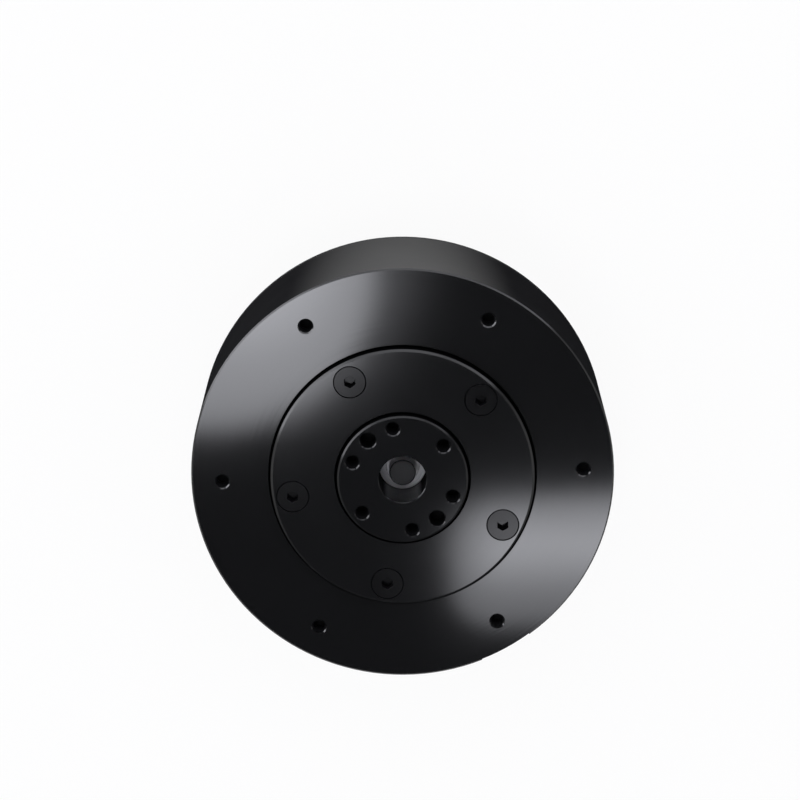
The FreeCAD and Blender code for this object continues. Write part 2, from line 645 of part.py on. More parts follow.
def bearing(label, bore, outside, low, width, wall, ball, balls):
    """A ball bearing: two grooved rings and the balls between them."""
    middle = "((%s + %s)/2)" % (bore, outside)
    height = "(%s + %s/2)" % (low, width)
    top = "%s + %s" % (low, width)
    edge = "%s*race_chamfer" % wall
    inside = (bore, "%s + %s" % (bore, wall))
    outer = ("%s - %s" % (outside, wall), outside)
    for part, (near, far), chamfered in (("inner", inside, (0, 3)), ("outer", outer, (1, 2))):
        body = new_body("%s_bearing_%s" % (label, part))
        rim = [(near, low), (far, low), (far, top), (near, top)]
        turn(body, "race", [corner + (edge,) if index in chamfered else corner
                            for index, corner in enumerate(rim)])
        turn(body, "track", circles=[(middle, height, "%s + ball_play" % ball)], cut=True)
        finish(body)
    body = new_body("%s_bearing_balls" % label)
    sphere = body.newObject("PartDesign::AdditiveSphere", "ball")
    bind(sphere, "Radius", ball)
    bind(sphere, "Placement.Base.x", middle)
    bind(sphere, "Placement.Base.z", height)
    around(body, sphere, balls)
    finish(body)


def nose_shield():
    """The thin ring that closes the nose bearing, at the bottom of the pilot bore."""
    body = new_body("nose_bearing_shield")
    turn(body, "shield",
         ring("shaft_radius + nose_wall + shield_gap", "pilot_radius - nose_wall - seat_play",
              "shield_top - shield_thickness", "shield_top"))
    finish(body)


# ---- output carrier -------------------------------------------------------------------------

def output_flange():
    """Output face, bearing journal, front carrier plate and the three posts, in one piece."""
    body = new_body("output_flange")
    shoulder = "bearing_bore + race_wall - race_step"
    turn(body, "flange", [
        ("nose_relief", "plate_under"), ("plate_radius", "plate_under"), ("plate_radius", "plate_top"),
        (shoulder, "plate_top"), (shoulder, "bearing_floor"),
        ("bearing_bore - fit", "bearing_floor"), ("bearing_bore - fit", "bearing_top"),
        ("flange_radius", "bearing_top"), ("flange_radius", "flange_face", "flange_chamfer"),
        ("pilot_radius", "flange_face", "pilot_chamfer"), ("pilot_radius", "nose_floor"),
        ("nose_relief", "nose_floor")])
    turn(body, "output_thread",
         straight_hole("tap_radius", "flange_face", "flange_face - output_depth", "tap_chamfer"),
         circle="output_circle", angle="output_angle", count="output_holes", cut=True)
    turn(body, "dowel_hole",
         straight_hole("dowel_radius", "flange_face", "flange_face - dowel_depth", "dowel_chamfer"),
         circle="output_circle", angle="dowel_angle", count="dowel_holes", cut=True)
    extrude(body, "post", "carrier_top", "plate_under",
            circles=[(*point_on("post_circle", "180/planets"), "post_radius")], count="planets")
    turn(body, "post_thread",
         straight_hole("m2_radius + fit", "carrier_top",
                       "carrier_under + carrier_screw_length + thread_end"),
         circle="post_circle", angle="(180/planets)", count="planets", cut=True)
    turn(body, "pin_hole", straight_hole("pin_radius + fit", "plate_under", "pin_end"),
         circle="orbit", count="planets", cut=True)
    finish(body)


def carrier_rear_plate():
    body = new_body("carrier_rear_plate")
    turn(body, "plate", [
        ("carrier_hole", "carrier_under"), ("carrier_journal - fit", "carrier_under", "fine_chamfer"),
        ("carrier_journal - fit", "carrier_top", "fine_chamfer"), ("carrier_hole", "carrier_top")])
    turn(body, "pin_hole", straight_hole("pin_radius + fit", "carrier_top", "carrier_top - pin_seat"),
         circle="orbit", count="planets", cut=True)
    turn(body, "screw_seat", m2_seat("carrier_under", "carrier_top + over"),
         circle="post_circle", angle="(180/planets)", count="planets", cut=True)
    finish(body)


def planet_pins():
    body = new_body("planet_pins")
    rear, front = "carrier_top - pin_seat + seat_play", "pin_end - seat_play"
    turn(body, "pin", [("0", rear), ("pin_radius", rear, "fine_chamfer"),
                       ("pin_radius", front, "fine_chamfer"), ("0", front)],
         circle="orbit", count="planets")
    finish(body)


def planet_bush(index):
    body = new_body("planet_bush_%d" % (index + 1))
    turn(body, "bush", ring("pin_radius + pin_play", "bush_radius", "planet_under", "planet_top"),
         circle="orbit")
    finish(body, "360/planets*%d" % index)


def bearing_holder():
    """Ring in the sleeve's rear end that seats the carrier's rear bearing."""
    body = new_body("bearing_holder")
    turn(body, "holder",
         ring("carrier_outside + fit", "sleeve_bore - fit", "sleeve_end", "sleeve_step"))
    finish(body)


# ---- gears ----------------------------------------------------------------------------------

def polar(radius, angle):
    return FreeCAD.Vector(radius*math.cos(angle), radius*math.sin(angle), 0)


def toothed_prism(teeth, root, tip, thickness, low, high, phase=0.0):
    """A solid gear of involute teeth; thickness is a tooth's width on the pitch circle."""
    pitch = number("module")*teeth/2
    pressure = math.radians(number("pressure_angle"))
    base = pitch*math.cos(pressure)

    def half_angle(radius):
        """Half the angle that a tooth spans at a radius."""
        roll = math.acos(min(1.0, base/radius))
        return thickness/(2*pitch) + math.tan(pressure) - pressure - math.tan(roll) + roll

    start = max(base, root)
    edges = []
    for tooth in range(teeth):
        middle = phase + 2*math.pi*tooth/teeth
        flanks = []
        for side in (-1, 1):
            flanks.append([polar(radius, middle + side*half_angle(radius))
                           for radius in (start, (start + tip)/2, tip)])
        foot = [polar(root, middle + side*half_angle(start)) for side in (-1, 1)]
        following = polar(root, middle + 2*math.pi/teeth - half_angle(start))
        if start > root:
            edges.append(Part.makeLine(foot[0], flanks[0][0]))
        edges.append(Part.Arc(*flanks[0]).toShape())
        edges.append(Part.makeLine(flanks[0][2], flanks[1][2]))
        edges.append(Part.Arc(*reversed(flanks[1])).toShape())
        if start > root:
            edges.append(Part.makeLine(flanks[1][0], foot[1]))
        edges.append(Part.makeLine(foot[1], following))
    face = Part.Face(Part.Wire(edges))
    face.translate(FreeCAD.Vector(0, 0, low))
    return face.extrude(FreeCAD.Vector(0, 0, high - low))


def cylinder(radius, low, high):
    return Part.makeCylinder(radius, high - low, FreeCAD.Vector(0, 0, low))


def outer_gear(name, low, high, phase=0.0):
    """The sun's or a planet's teeth."""
    teeth = int(number(name + "_teeth"))
    module = number("module")
    thickness = math.pi*module/2 - number("backlash")/2
    root, tip = teeth/2 - number("dedendum"), teeth/2 + number("addendum")
    return toothed_prism(teeth, module*root, module*tip, thickness, low, high, phase)


def shaped(label, shape, out=0.0, angle=0.0):
    """Keep a sub-part whose shape is made here, moved out from the output axis and turned about it."""
    turned = FreeCAD.Rotation(FreeCAD.Vector(0, 0, 1), angle)
    piece = document.addObject("Part::Feature", label)
    piece.Shape = shape
    piece.Placement = FreeCAD.Placement(turned.multVec(FreeCAD.Vector(out, 0, 0)), turned)
    pieces.append(piece)


def ring_gear():
    """Its tooth spaces have the shape of an outer gear's teeth, so that gear is cut from a ring."""
    teeth = int(number("ring_teeth"))
    module = number("module")
    low, high = number("sleeve_step"), number("lip_floor")
    tip, root = teeth/2 - number("addendum"), teeth/2 + number("dedendum")
    width = math.pi*module/2 + number("backlash")/2
    spaces = toothed_prism(teeth, module*tip, module*root, width, low, high, math.pi/teeth)
    shaped("ring_gear", cylinder(number("sleeve_bore - fit"), low, high).cut(spaces))


def planet_gear(index):
    """A planet has a space towards the sun and one towards the ring gear."""
    low, high = number("planet_under"), number("planet_top")
    gear = outer_gear("planet", low, high, math.pi/number("planet_teeth"))
    gear = gear.cut(cylinder(number("bush_radius + fit"), low, high))
    shaped("planet_gear_%d" % (index + 1), gear, number("orbit"), 360/number("planets")*index)


def sun_shaft():
    """Rotor shaft with the sun's teeth cut on it; its front end shows in the pilot bore."""
    teeth = outer_gear("sun", number("teeth_start"), number("planet_top"))
    rear = cylinder(number("hub_bore"), number("shaft_rear"), number("teeth_start"))
    front = cylinder(number("shaft_radius"), number("planet_top"), number("shaft_front"))
    tip = [edge for edge in front.Edges if edge.BoundBox.ZMin > number("shaft_front - fit")]
    front = front.makeChamfer(number("fine_chamfer"), tip)
    shaped("sun_shaft", rear.fuse([teeth, front]).removeSplitter())


# ---- rotor ----------------------------------------------------------------------------------

def rotor_hub():
    """Web that joins the shaft to the rotor ring, dished over the bearing boss."""
    body = new_body("rotor_hub")
    turn(body, "web", [
        ("hub_bore + fit", "tail_floor"), ("rotor_journal - fit", "tail_floor"),
        ("rotor_journal - fit", "rotor_seat_top"), ("rotor_journal + rotor_race", "rotor_seat_top"),
        ("rotor_journal + rotor_race", "dish_under"), ("dish_radius", "dish_under"),
        ("dish_radius", "rotor_under"),
        ("rotor_inside - fit", "rotor_under"), ("rotor_inside - fit", "web_top"),
        ("dish_outside", "web_top"), ("dish_outside", "dish_top", "dish_chamfer"),
        ("hub_bore + fit", "dish_top")])
    extrude(body, "lightening", "rotor_under - over", "web_top + over",
            circles=[("web_hole_circle", "0", "web_hole_radius")], count="web_holes", cut=True)
    finish(body)


def rotor_ring():
    body = new_body("rotor_ring")
    turn(body, "tube", [
        ("rotor_inside", "rotor_under"), ("rotor_radius", "rotor_under", "fine_chamfer"),
        ("rotor_radius", "rotor_front", "fine_chamfer"), ("rotor_inside", "rotor_front")])
    finish(body)


def rotor_magnets():
    """Arc magnets inside the rotor ring, a small gap apart."""
    body = new_body("rotor_magnets")
    rear, front = "stator_rear - magnet_margin", "stator_front + magnet_margin"
    turn(body, "lining", ring("magnet_inside", "rotor_inside - fit", rear, front))
    extrude(body, "gap", rear + " - over", front + " + over",
            [across("magnet_inside - over", "rotor_inside + over", "magnet_gap")],
            count="magnet_count", cut=True)
    finish(body)


def encoder_magnet():
    body = new_body("encoder_magnet")
    turn(body, "magnet", straight_hole("hub_bore - fit", "shaft_rear - fit", "tail_floor"))
    finish(body)


# ---- stator ---------------------------------------------------------------------------------

def slot_side(radius):
    """Half the width of a slot between two parallel-sided teeth."""
    return "(%s*tan(slot_half_angle) - tooth_width/2/cos(slot_half_angle))" % radius


def stator_core():
    """Lamination stack, cut with one slot along +X and then turned half a slot."""
    body = new_body("stator_core")
    turn(body, "stack", ring("sleeve_radius + fit", "stator_radius", "stator_rear", "stator_front"))
    floor, neck = slot_side("yoke_radius"), slot_side("shoe_radius")
    lip = "stator_radius - shoe_edge"
    mouth = "stator_radius + over"
    extrude(body, "slot", "stator_rear - over", "stator_front + over", [[
        ("yoke_radius", "-" + floor), ("shoe_radius", "-" + neck), (lip, "-slot_opening/2"),
        (mouth, "-slot_opening/2"), (mouth, "slot_opening/2"), (lip, "slot_opening/2"),
        ("shoe_radius", neck), ("yoke_radius", floor)]], count="slots", cut=True)
    finish(body, "slot_half_angle")


def stator_coils():
    """One coil round each tooth, with chamfered end turns."""
    body = new_body("stator_coils")

    def loop(width, end, corner):
        low, high = "stator_rear - %s" % end, "stator_front + %s" % end
        return [("-" + width, low, corner), (width, low, corner),
                (width, high, corner), ("-" + width, high, corner)]

    extrude(body, "coil", "yoke_radius + coil_gap", "shoe_radius - coil_gap/2",
            [loop("coil_outside", "end_turn", "coil_corner"),
             loop("coil_inside", "2*coil_gap", "coil_gap")], plane="YZ_Plane", count="slots")
    finish(body)


def phase_leads():
    """Three insulated leads, from the coils over the rotor's edge and down the channel to the board."""
    bend = number("lead_bend")
    corners = [("lead_start", "lead_high"), ("lead_side", "lead_high"), ("lead_side", "lead_low"),
               ("lead_end", "lead_low"), ("lead_end", "board_top + seat_play")]
    leads = []
    for side in (-1, 0, 1):
        spots = [FreeCAD.Vector(number(x), side*number("lead_pitch"), number(z)) for x, z in corners]
        edges = []
        start = spots[0]
        for before, corner, after in zip(spots, spots[1:], spots[2:]):
            radius = min(bend, 0.9*(corner - before).Length, 0.9*(after - corner).Length)
            back, on = (before - corner).normalize(), (after - corner).normalize()
            middle = corner + (back + on)*radius*(1 - math.sqrt(0.5))
            edges.append(Part.makeLine(start, corner + back*radius))
            edges.append(Part.Arc(corner + back*radius, middle, corner + on*radius).toShape())
            start = corner + on*radius
        edges.append(Part.makeLine(start, spots[-1]))
        section = Part.Wire(Part.makeCircle(number("lead_radius"), spots[0], spots[1] - spots[0]))
        leads.append(Part.Wire(edges).makePipeShell([section], True, False))
    shaped("phase_leads", Part.makeCompound(leads), angle=number("channel_angle"))


# ---- driver board ---------------------------------------------------------------------------

def driver_board():
    body = new_body("driver_board")
    extrude(body, "disc", "board_under", "board_top", circles=[("0", "0", "board_radius")])
    extrude(body, "tab", "board_under", "board_top",
            [across("board_radius/2", "board_tab", "window_width - 2*tab_gap")])
    extrude(body, "power_notch", "board_under - over", "board_top + over",
            [rectangle("power_back - notch_gap", "board_tab + over",
                       "-window_width", "row_start + power_width + notch_gap")], cut=True)
    turn(body, "screw_hole",
         straight_hole("m2_radius + m2_clearance", "board_under - over", "board_top + over"),
         circle="board_circle", angle="cover_post_angle", count="cover_posts", cut=True)
    finish(body, "channel_angle")


def chips(label, low, high, spots, width, length):
    """A group of flat parts on the board."""
    body = new_body(label)
    sides = ("%s - %s/2", "%s + %s/2")
    extrude(body, "chip", low, high, [
        rectangle(*(side % (x, width) for side in sides), *(side % (y, length) for side in sides))
        for x, y in spots])
    finish(body, "channel_angle")


def board_parts():
    under = "board_under - chip_height"
    rows = ("switch_row", "switch_row + switch_length + switch_gap")
    places = [(row, "%d*switch_pitch" % step) for row in rows for step in (-1, 0, 1)]
    chips("power_switches", under, "board_under", places, "switch_length", "switch_width")
    chips("control_chips", under, "board_under", [("0", "-chip_width"), ("0", "chip_width*3/4")],
          "chip_width", "chip_width")
    chips("encoder_chip", "board_top", "board_top + chip_height", [("0", "0")],
          "sense_width", "sense_width")
    body = new_body("bus_capacitors")
    extrude(body, "capacitor", "board_under - can_height", "board_under",
            circles=[("can_row", "%s*can_pitch" % step, "can_radius")
                     for step in ("-3/2", "-1/2", "1/2", "3/2")])
    finish(body, "channel_angle")


def socket(label, start, width, face, length, low, height, pins):
    """A connector in the rear window: an open box with its contacts, start being its lower side."""
    body = new_body(label)
    back, top, end = "%s - %s" % (face, length), "%s + %s" % (low, height), "%s + %s" % (start, width)
    extrude(body, "shell", low, top, [rectangle(back, face, start, end)])
    extrude(body, "mouth", low + " + socket_wall", top + " - socket_wall",
            [rectangle(back + " + socket_back", face + " + over",
                       start + " + socket_wall", end + " - socket_wall")], cut=True)
    finish(body, "channel_angle")
    return ["%s + %s*%d/%d" % (start, width, pin + 1, pins + 1) for pin in range(pins)]


def sockets():
    start_a = "row_start + power_width + socket_space"
    start_b = start_a + " + data_width_a + socket_space"
    spots = []
    row = (("a", start_a, "data_width_a", 4), ("b", start_b, "data_width_b", 3))
    for label, start, width, pins in row:
        spots += socket("data_socket_" + label, start, width, "socket_face", "socket_length",
                        "data_under", "socket_height", pins)
    level = "data_under + socket_height/2"
    chips("data_pins", level + " - data_pin/2", level + " + data_pin/2",
          [("socket_face - socket_length/2", spot) for spot in spots],
          "(socket_length - 2*socket_back - fit)", "data_pin")
    socket("power_socket", "row_start", "power_width", "power_face", "power_length",
           "power_under", "power_height", 2)
    body = new_body("power_pins")
    pin = "row_start + power_width/2 %s power_pitch/2"
    extrude(body, "pin", "power_back + socket_back", "power_face - power_recess", plane="YZ_Plane",
            circles=[(pin % side, "power_under + power_height/2", "power_pin") for side in "-+"])
    finish(body, "channel_angle")


# ---- rear cover -----------------------------------------------------------------------------

def rear_cover():
    """Cup over the driver board, open where the sockets are."""
    body = new_body("rear_cover")
    turn(body, "cup", [
        ("0", "0"), ("cover_radius", "0", "cover_chamfer"), ("cover_radius", "cover_rise"),
        ("cover_radius - cover_wall", "cover_rise"), ("cover_radius - cover_wall", "cover_floor"),
        ("0", "cover_floor")])
    extrude(body, "post", "cover_floor", "cover_rise",
            circles=[(*point_on("post_hole_circle", "cover_post_angle"), "cover_post_radius")],
            count="cover_posts")
    extrude(body, "window", "cover_floor", "cover_rise + over",
            [across("board_radius", "cover_radius + over", "window_width")], cut=True)
    turn(body, "screw_seat", m2_seat("0", "cover_rise + over"),
         circle="post_hole_circle", angle="cover_post_angle", count="cover_posts", cut=True)
    finish(body, "channel_angle")


front_housing()
channel_cover()
gearbox_cover()
back_plate()
rear_cover()
screws("cover_screws", "thread_radius", "head_radius", "head_rim", "hex_flats", "hex_depth",
       "(disc_face - head_sink)", "disc_face - screw_length", "cover_circle", "cover_angle",
       "cover_screws")
m2_screws("back_plate_screws", "(cover_rise + head_sink)", "rim_screw_length", "rim_circle",
          "rim_angle", "rim_screws")
m2_screws("rear_cover_screws", "head_sink", "cover_screw_length", "post_hole_circle",
          "(cover_post_angle + channel_angle)", "cover_posts")
m2_screws("board_screws", "(board_under - m2_rim - m2_head + m2_radius)", "board_screw_length",
          "board_circle", "(cover_post_angle + channel_angle)", "cover_posts")
m2_screws("carrier_screws", "(carrier_under + head_sink)", "carrier_screw_length", "post_circle",
          "(180/planets)", "planets")
bearing("output", "bearing_bore", "bearing_outside", "bearing_floor", "bearing_width", "race_wall",
        "ball_radius", "ball_count")
bearing("carrier", "carrier_journal", "carrier_outside", "sleeve_end", "carrier_width", "carrier_wall",
        "carrier_ball", "carrier_balls")
bearing("rotor", "rotor_journal", "rotor_seat", "rotor_seat_floor", "rotor_width", "rotor_race",
        "rotor_ball", "rotor_balls")
bearing("nose", "(shaft_radius + fit)", "(pilot_radius - fit)", "nose_floor", "nose_width", "nose_wall",
        "nose_ball", "nose_balls")
nose_shield()
output_flange()
carrier_rear_plate()
planet_pins()
bearing_holder()
ring_gear()
sun_shaft()
for index in range(int(number("planets"))):
    planet_gear(index)
    planet_bush(index)
rotor_hub()
rotor_ring()
rotor_magnets()
encoder_magnet()
stator_core()
stator_coils()
phase_leads()
driver_board()
board_parts()
sockets()

document.recompute()
for thing in document.Objects:
    if "Invalid" in thing.State or "Error" in thing.State:
        raise RuntimeError("%s could not be made: %s" % (thing.Label, thing.State))
os.makedirs("parts", exist_ok=True)
for piece in pieces:
    if piece.Shape.isNull() or not piece.Shape.isValid():
        raise RuntimeError("%s is not a sound solid" % piece.Label)
    piece.Shape.exportStep("parts/%s.step" % piece.Label)
print(len(pieces), "sub-parts")
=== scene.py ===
import math

import bmesh
import bpy
from mathutils import Matrix, Vector


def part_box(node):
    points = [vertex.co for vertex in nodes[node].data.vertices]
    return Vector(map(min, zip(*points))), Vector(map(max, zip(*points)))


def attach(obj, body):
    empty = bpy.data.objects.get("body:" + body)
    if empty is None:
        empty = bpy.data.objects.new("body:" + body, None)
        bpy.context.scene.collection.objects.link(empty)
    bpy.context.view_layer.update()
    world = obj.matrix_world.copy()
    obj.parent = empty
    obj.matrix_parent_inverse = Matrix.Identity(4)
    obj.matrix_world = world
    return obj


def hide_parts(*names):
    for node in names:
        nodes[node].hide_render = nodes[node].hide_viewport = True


# Looks of a robot joint actuator: a black anodised can with a raised gearbox cover and an output
# flange that turns.  Lengths are in metres; +Z is the output axis.

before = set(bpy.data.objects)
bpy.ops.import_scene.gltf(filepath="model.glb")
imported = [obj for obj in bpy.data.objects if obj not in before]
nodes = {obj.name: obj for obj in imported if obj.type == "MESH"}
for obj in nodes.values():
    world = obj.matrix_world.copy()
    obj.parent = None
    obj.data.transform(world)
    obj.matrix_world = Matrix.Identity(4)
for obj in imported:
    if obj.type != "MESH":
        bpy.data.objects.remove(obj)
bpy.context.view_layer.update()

MM = 0.001
RING_FACE = 36.7*MM
LAYER_PITCH = 0.35*MM


# ---- node tools -------------------------------------------------------------------------------

class Value:
    """A socket that adds Math nodes when it is used in an expression."""

    def __init__(self, finish, socket):
        self.finish = finish
        self.socket = socket

    def math(self, operation, *others):
        values = dict(enumerate((self,) + others))
        return self.finish.node("Math", {"operation": operation}, values)

    def __add__(self, other):
        return self.math("ADD", other)

    def __radd__(self, other):
        return self.math("ADD", other)

    def __mul__(self, other):
        return self.math("MULTIPLY", other)

    def __sub__(self, other):
        return self.math("SUBTRACT", other)

    def __rsub__(self, other):
        return self.finish.node("Math", {"operation": "SUBTRACT"}, {0: other, 1: self})

    def __abs__(self):
        return self.math("ABSOLUTE")


class Finish:
    """A material, or the world, whose nodes are put in one at a time."""

    def __init__(self, owner):
        owner.use_nodes = True
        self.owner = owner
        self.tree = owner.node_tree
        self.tree.nodes.clear()

    def node(self, kind, settings=None, inputs=None, output=0):
        """One node with its settings and inputs, given back as one of its outputs."""
        made = self.tree.nodes.new("ShaderNode" + kind)
        for name, value in (settings or {}).items():
            setattr(made, name, value)
        for name, value in (inputs or {}).items():
            socket = made.inputs[name]
            if isinstance(value, Value):
                self.tree.links.new(value.socket, socket)
            elif socket.type == "RGBA" and len(value) == 3:
                socket.default_value = (*value, 1.0)
            else:
                socket.default_value = value
        return Value(self, made.outputs[output])

    def parts(self, vector):
        """The x, y and z of a vector."""
        split = self.node("SeparateXYZ", {}, {"Vector": vector})
        return [Value(self, socket) for socket in split.socket.node.outputs]

    def vector(self, x=0.0, y=0.0, z=0.0):
        return self.node("CombineXYZ", {}, {"X": x, "Y": y, "Z": z})

    def here(self):
        """Object coordinates."""
        return self.node("TexCoord", {}, {}, "Object")

    def facing(self):
        """x, y and z of the surface's direction."""
        return self.parts(self.node("NewGeometry", {}, {}, "True Normal"))

    def polar(self, vector):
        """The distance from the output axis, and the height."""
        x, y, z = self.parts(vector)
        return (x*x + y*y).math("SQRT"), z

    def mixed(self, share, first, second):
        """One shader over another."""
        return self.node("MixShader", {}, {0: share, 1: first, 2: second})

    def noise(self, vector, scale, detail=2.0, roughness=0.5):
        return self.node("TexNoise", {}, {"Vector": vector, "Scale": scale, "Detail": detail,
                                          "Roughness": roughness})

    def within(self, value, low, high, to_low=0.0, to_high=1.0):
        """A value spread over a new range, held to its ends."""
        return self.node("MapRange", {"clamp": True, "interpolation_type": "SMOOTHSTEP"},
                         {"Value": value, "From Min": low, "From Max": high,
                          "To Min": to_low, "To Max": to_high})

    def blend(self, factor, first, second):
        """One colour over another."""
        made = self.node("Mix", {"data_type": "RGBA"}, {0: factor}, 2)
        for index, shade in ((6, first), (7, second)):
            socket = made.socket.node.inputs[index]
            if isinstance(shade, Value):
                self.tree.links.new(shade.socket, socket)
            else:
                socket.default_value = (*shade, 1.0)
        return made

    def bump(self, height, distance, normal=None):
        inputs = {"Height": height, "Distance": distance, "Strength": 1.0}
        if normal is not None:
            inputs["Normal"] = normal
        return self.node("Bump", {}, inputs)

    def principled(self, **sockets):
        """A Principled shader; base_color=... sets or links its Base Color, and so on."""
        names = {name.replace("_", " ").title().replace("Ior", "IOR"): value
                 for name, value in sockets.items()}
        return self.node("BsdfPrincipled", {}, names)

    def surface(self, **sockets):
        self.output(self.principled(**sockets))
        return self.owner

    def output(self, shader, kind="OutputMaterial"):
        end = self.tree.nodes.new("ShaderNode" + kind)
        self.tree.links.new(shader.socket, end.inputs["Surface"])


def new_finish(name):
    return Finish(bpy.data.materials.new(name))


# ---- finishes ---------------------------------------------------------------------------------

def anodised(name, rough, ripple=1.0, wall_rough=0.48, gloss=0.4,
             shade=(0.0042, 0.0043, 0.0047), polished_above=-1.0, rim_radius=0.0,
             seam_shade_inside=0.0, seam_shade_outside=1.0):
    """Black anodised aluminium: polished turned faces, satin walls, dull drilled holes, rubbed
    edges and painted shade on the seams.  Faces that look up are polished where they are higher
    than polished_above, and the painted seam shade lies inside one radius and outside another."""
    chamfer_up, seam_soft, rim_width, step = 0.71, 0.05*MM, 0.3*MM, 0.2*MM
    make = new_finish(name)
    here = make.here()
    radius, z = make.polar(here)
    turned = make.noise(make.vector(radius, z), 9000.0, 3.0, 0.6)
    waves = make.noise(make.vector(radius, z), 1500.0, 1.0)
    blotch = make.noise(here, 90.0, 4.0)
    grain = make.noise(here, 7000.0, 2.0)
    up = abs(make.facing()[2])
    flat = make.within(up, 0.2, 0.4)
    edge = make.within(abs(up - chamfer_up), 0.2, 0.1)
    rim = edge*make.within(radius, rim_radius - rim_width, rim_radius)
    rub = edge*make.within(make.noise(here, 420.0, 5.0), 0.5, 0.75)
    polished = make.within(z, polished_above - step, polished_above)

    colour = make.blend(rub*0.3, make.blend(blotch, shade, tuple(1.3*part for part in shade)),
                        (0.03, 0.03, 0.033))
    cut = make.bump(turned, 0.00012*MM, make.bump(waves, 0.0006*MM*ripple))
    grained = make.bump(grain, 0.001*MM, cut)
    face = make.principled(
        base_color=colour, specular_ior_level=gloss,
        roughness=rough + (blotch - 0.5)*0.02 + (turned - 0.5)*0.02 + rim*0.14 + rub*0.04,
        normal=cut)
    satin = make.principled(
        base_color=colour, specular_ior_level=1.2*gloss,
        roughness=wall_rough + (blotch - 0.5)*0.06, normal=grained)
    dull = make.principled(
        base_color=make.blend(blotch, (0.009, 0.009, 0.0095), (0.013, 0.013, 0.0135)),
        specular_ior_level=0.0, roughness=0.76 + (blotch - 0.5)*0.06, normal=grained)
    # Painted shade: near-black and without gloss, laid in a band along the seams where the gaps
    # between parts are in shadow.
    painted_seam_shade = make.principled(
        base_color=make.blend(blotch, (0.0012, 0.0012, 0.0013), (0.002, 0.002, 0.0021)),
        specular_ior_level=0.0, roughness=0.8)

    slant = make.node("LayerWeight", {}, {"Blend": 0.5}, 1)
    hidden = make.within(slant, 0.765, 0.84).math("MAXIMUM", (1.0 - polished)*flat)
    # Bands of painted seam shade, inside the one radius and outside the other.
    inner = 1.0 - make.within(radius, seam_shade_inside - seam_soft, seam_shade_inside + seam_soft)
    outer = make.within(radius, seam_shade_outside - seam_soft, seam_shade_outside + seam_soft)
    bare = make.mixed(flat*polished, make.mixed(hidden, satin, dull), face)
    make.output(make.mixed(inner.math("MAXIMUM", outer), bare, painted_seam_shade))
    return make.owner


def metal(name, shade, rough, metallic=1.0, gloss=0.5):
    """Bare or coated metal with turning marks, a fine grain and faint stains."""
    make = new_finish(name)
    here = make.here()
    turned = make.noise(make.vector(*make.polar(here)), 7000.0, 3.0, 0.6)
    grain = make.noise(here, 5000.0, 3.0)
    stain = make.noise(here, 220.0, 4.0)
    stained = tuple(0.8*part for part in shade)
    return make.surface(
        base_color=make.blend(stain, stained, shade), metallic=metallic, specular_ior_level=gloss,
        roughness=rough + (stain - 0.5)*0.14 + (grain - 0.5)*0.08,
        normal=make.bump(grain, 0.0004*MM, make.bump(turned, 0.0002*MM)))


def shaft_with_painted_light_sides(name):
    """Hardened steel shaft coloured by facing: light grey sides, painted light to stand in for
    light on them where the bore shades them, and a dark end.
    """
    make = new_finish(name)
    here = make.here()
    z = make.parts(here)[2]
    ground = make.noise(make.vector(z=z), 9000.0, 3.0, 0.6)
    stain = make.noise(here, 220.0, 4.0)
    end = make.within(abs(make.facing()[2]), 0.3, 0.6)
    # Painted light: the sides get a light grey that stands in for light falling on them in the
    # shaded bore.
    side = make.blend(stain, (0.66, 0.66, 0.67), (0.76, 0.76, 0.77))
    dark = make.blend(stain, (0.0065, 0.0065, 0.007), (0.0085, 0.0085, 0.009))
    return make.surface(
        base_color=make.blend(end, side, dark), specular_ior_level=0.24,
        roughness=0.5 + (stain - 0.5)*0.14 + (ground - 0.5)*0.08,
        normal=make.bump(ground, 0.0002*MM))


def moulded(name, shade, rough):
    """Moulded plastic or lacquer: an even colour with a fine texture."""
    make = new_finish(name)
    here = make.here()
    cloud = make.noise(here, 300.0, 3.0)
    texture = make.noise(here, 6500.0, 2.0)
    return make.surface(
        base_color=make.blend(cloud, tuple(0.85*part for part in shade), shade),
        roughness=rough + (cloud - 0.5)*0.1,
        normal=make.bump(texture, 0.004*MM))


def wound_wire(name):
    """Enamelled wire, laid side by side round a tooth."""
    make = new_finish(name)
    here = make.here()
    radius = make.polar(here)[0]
    wires = (radius*(math.tau/LAYER_PITCH)).math("SINE")
    cloud = make.noise(here, 400.0, 3.0)
    return make.surface(
        base_color=make.blend(cloud, (0.33, 0.095, 0.03), (0.52, 0.19, 0.07)), metallic=0.6,
        roughness=0.3 + (cloud - 0.5)*0.15,
        normal=make.bump(wires, 0.06*MM))


def stacked_sheet(name):
    """Thin steel sheets with insulation between them."""
    make = new_finish(name)
    here = make.here()
    z = make.parts(here)[2]
    sheets = (z*(math.tau/LAYER_PITCH)).math("SINE")
    steel = make.within(sheets, -1.0, -0.4)
    cloud = make.noise(here, 300.0, 3.0)
    return make.surface(
        base_color=make.blend(steel, (0.05, 0.045, 0.05), (0.3, 0.3, 0.32)),
        metallic=0.8, roughness=0.4 + (cloud - 0.5)*0.15,
        normal=make.bump(sheets, 0.03*MM))


def laminate(name):
    """Circuit board: dark green lacquer over tracks."""
    make = new_finish(name)
    here = make.here()
    tracks = make.node("TexVoronoi", {"feature": "DISTANCE_TO_EDGE", "distance": "CHEBYCHEV"},
                       {"Vector": here, "Scale": 600.0})
    copper = make.within(tracks, 0.09, 0.14)
    cloud = make.noise(here, 500.0, 3.0)
    return make.surface(
        base_color=make.blend(copper, (0.012, 0.075, 0.03), (0.02, 0.12, 0.045)),
        roughness=0.32 + (cloud - 0.5)*0.1,
        normal=make.bump(copper, 0.03*MM))


def top_of(node):
    """Just under the highest face of a node."""
    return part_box(node)[1][2] - 0.6*MM


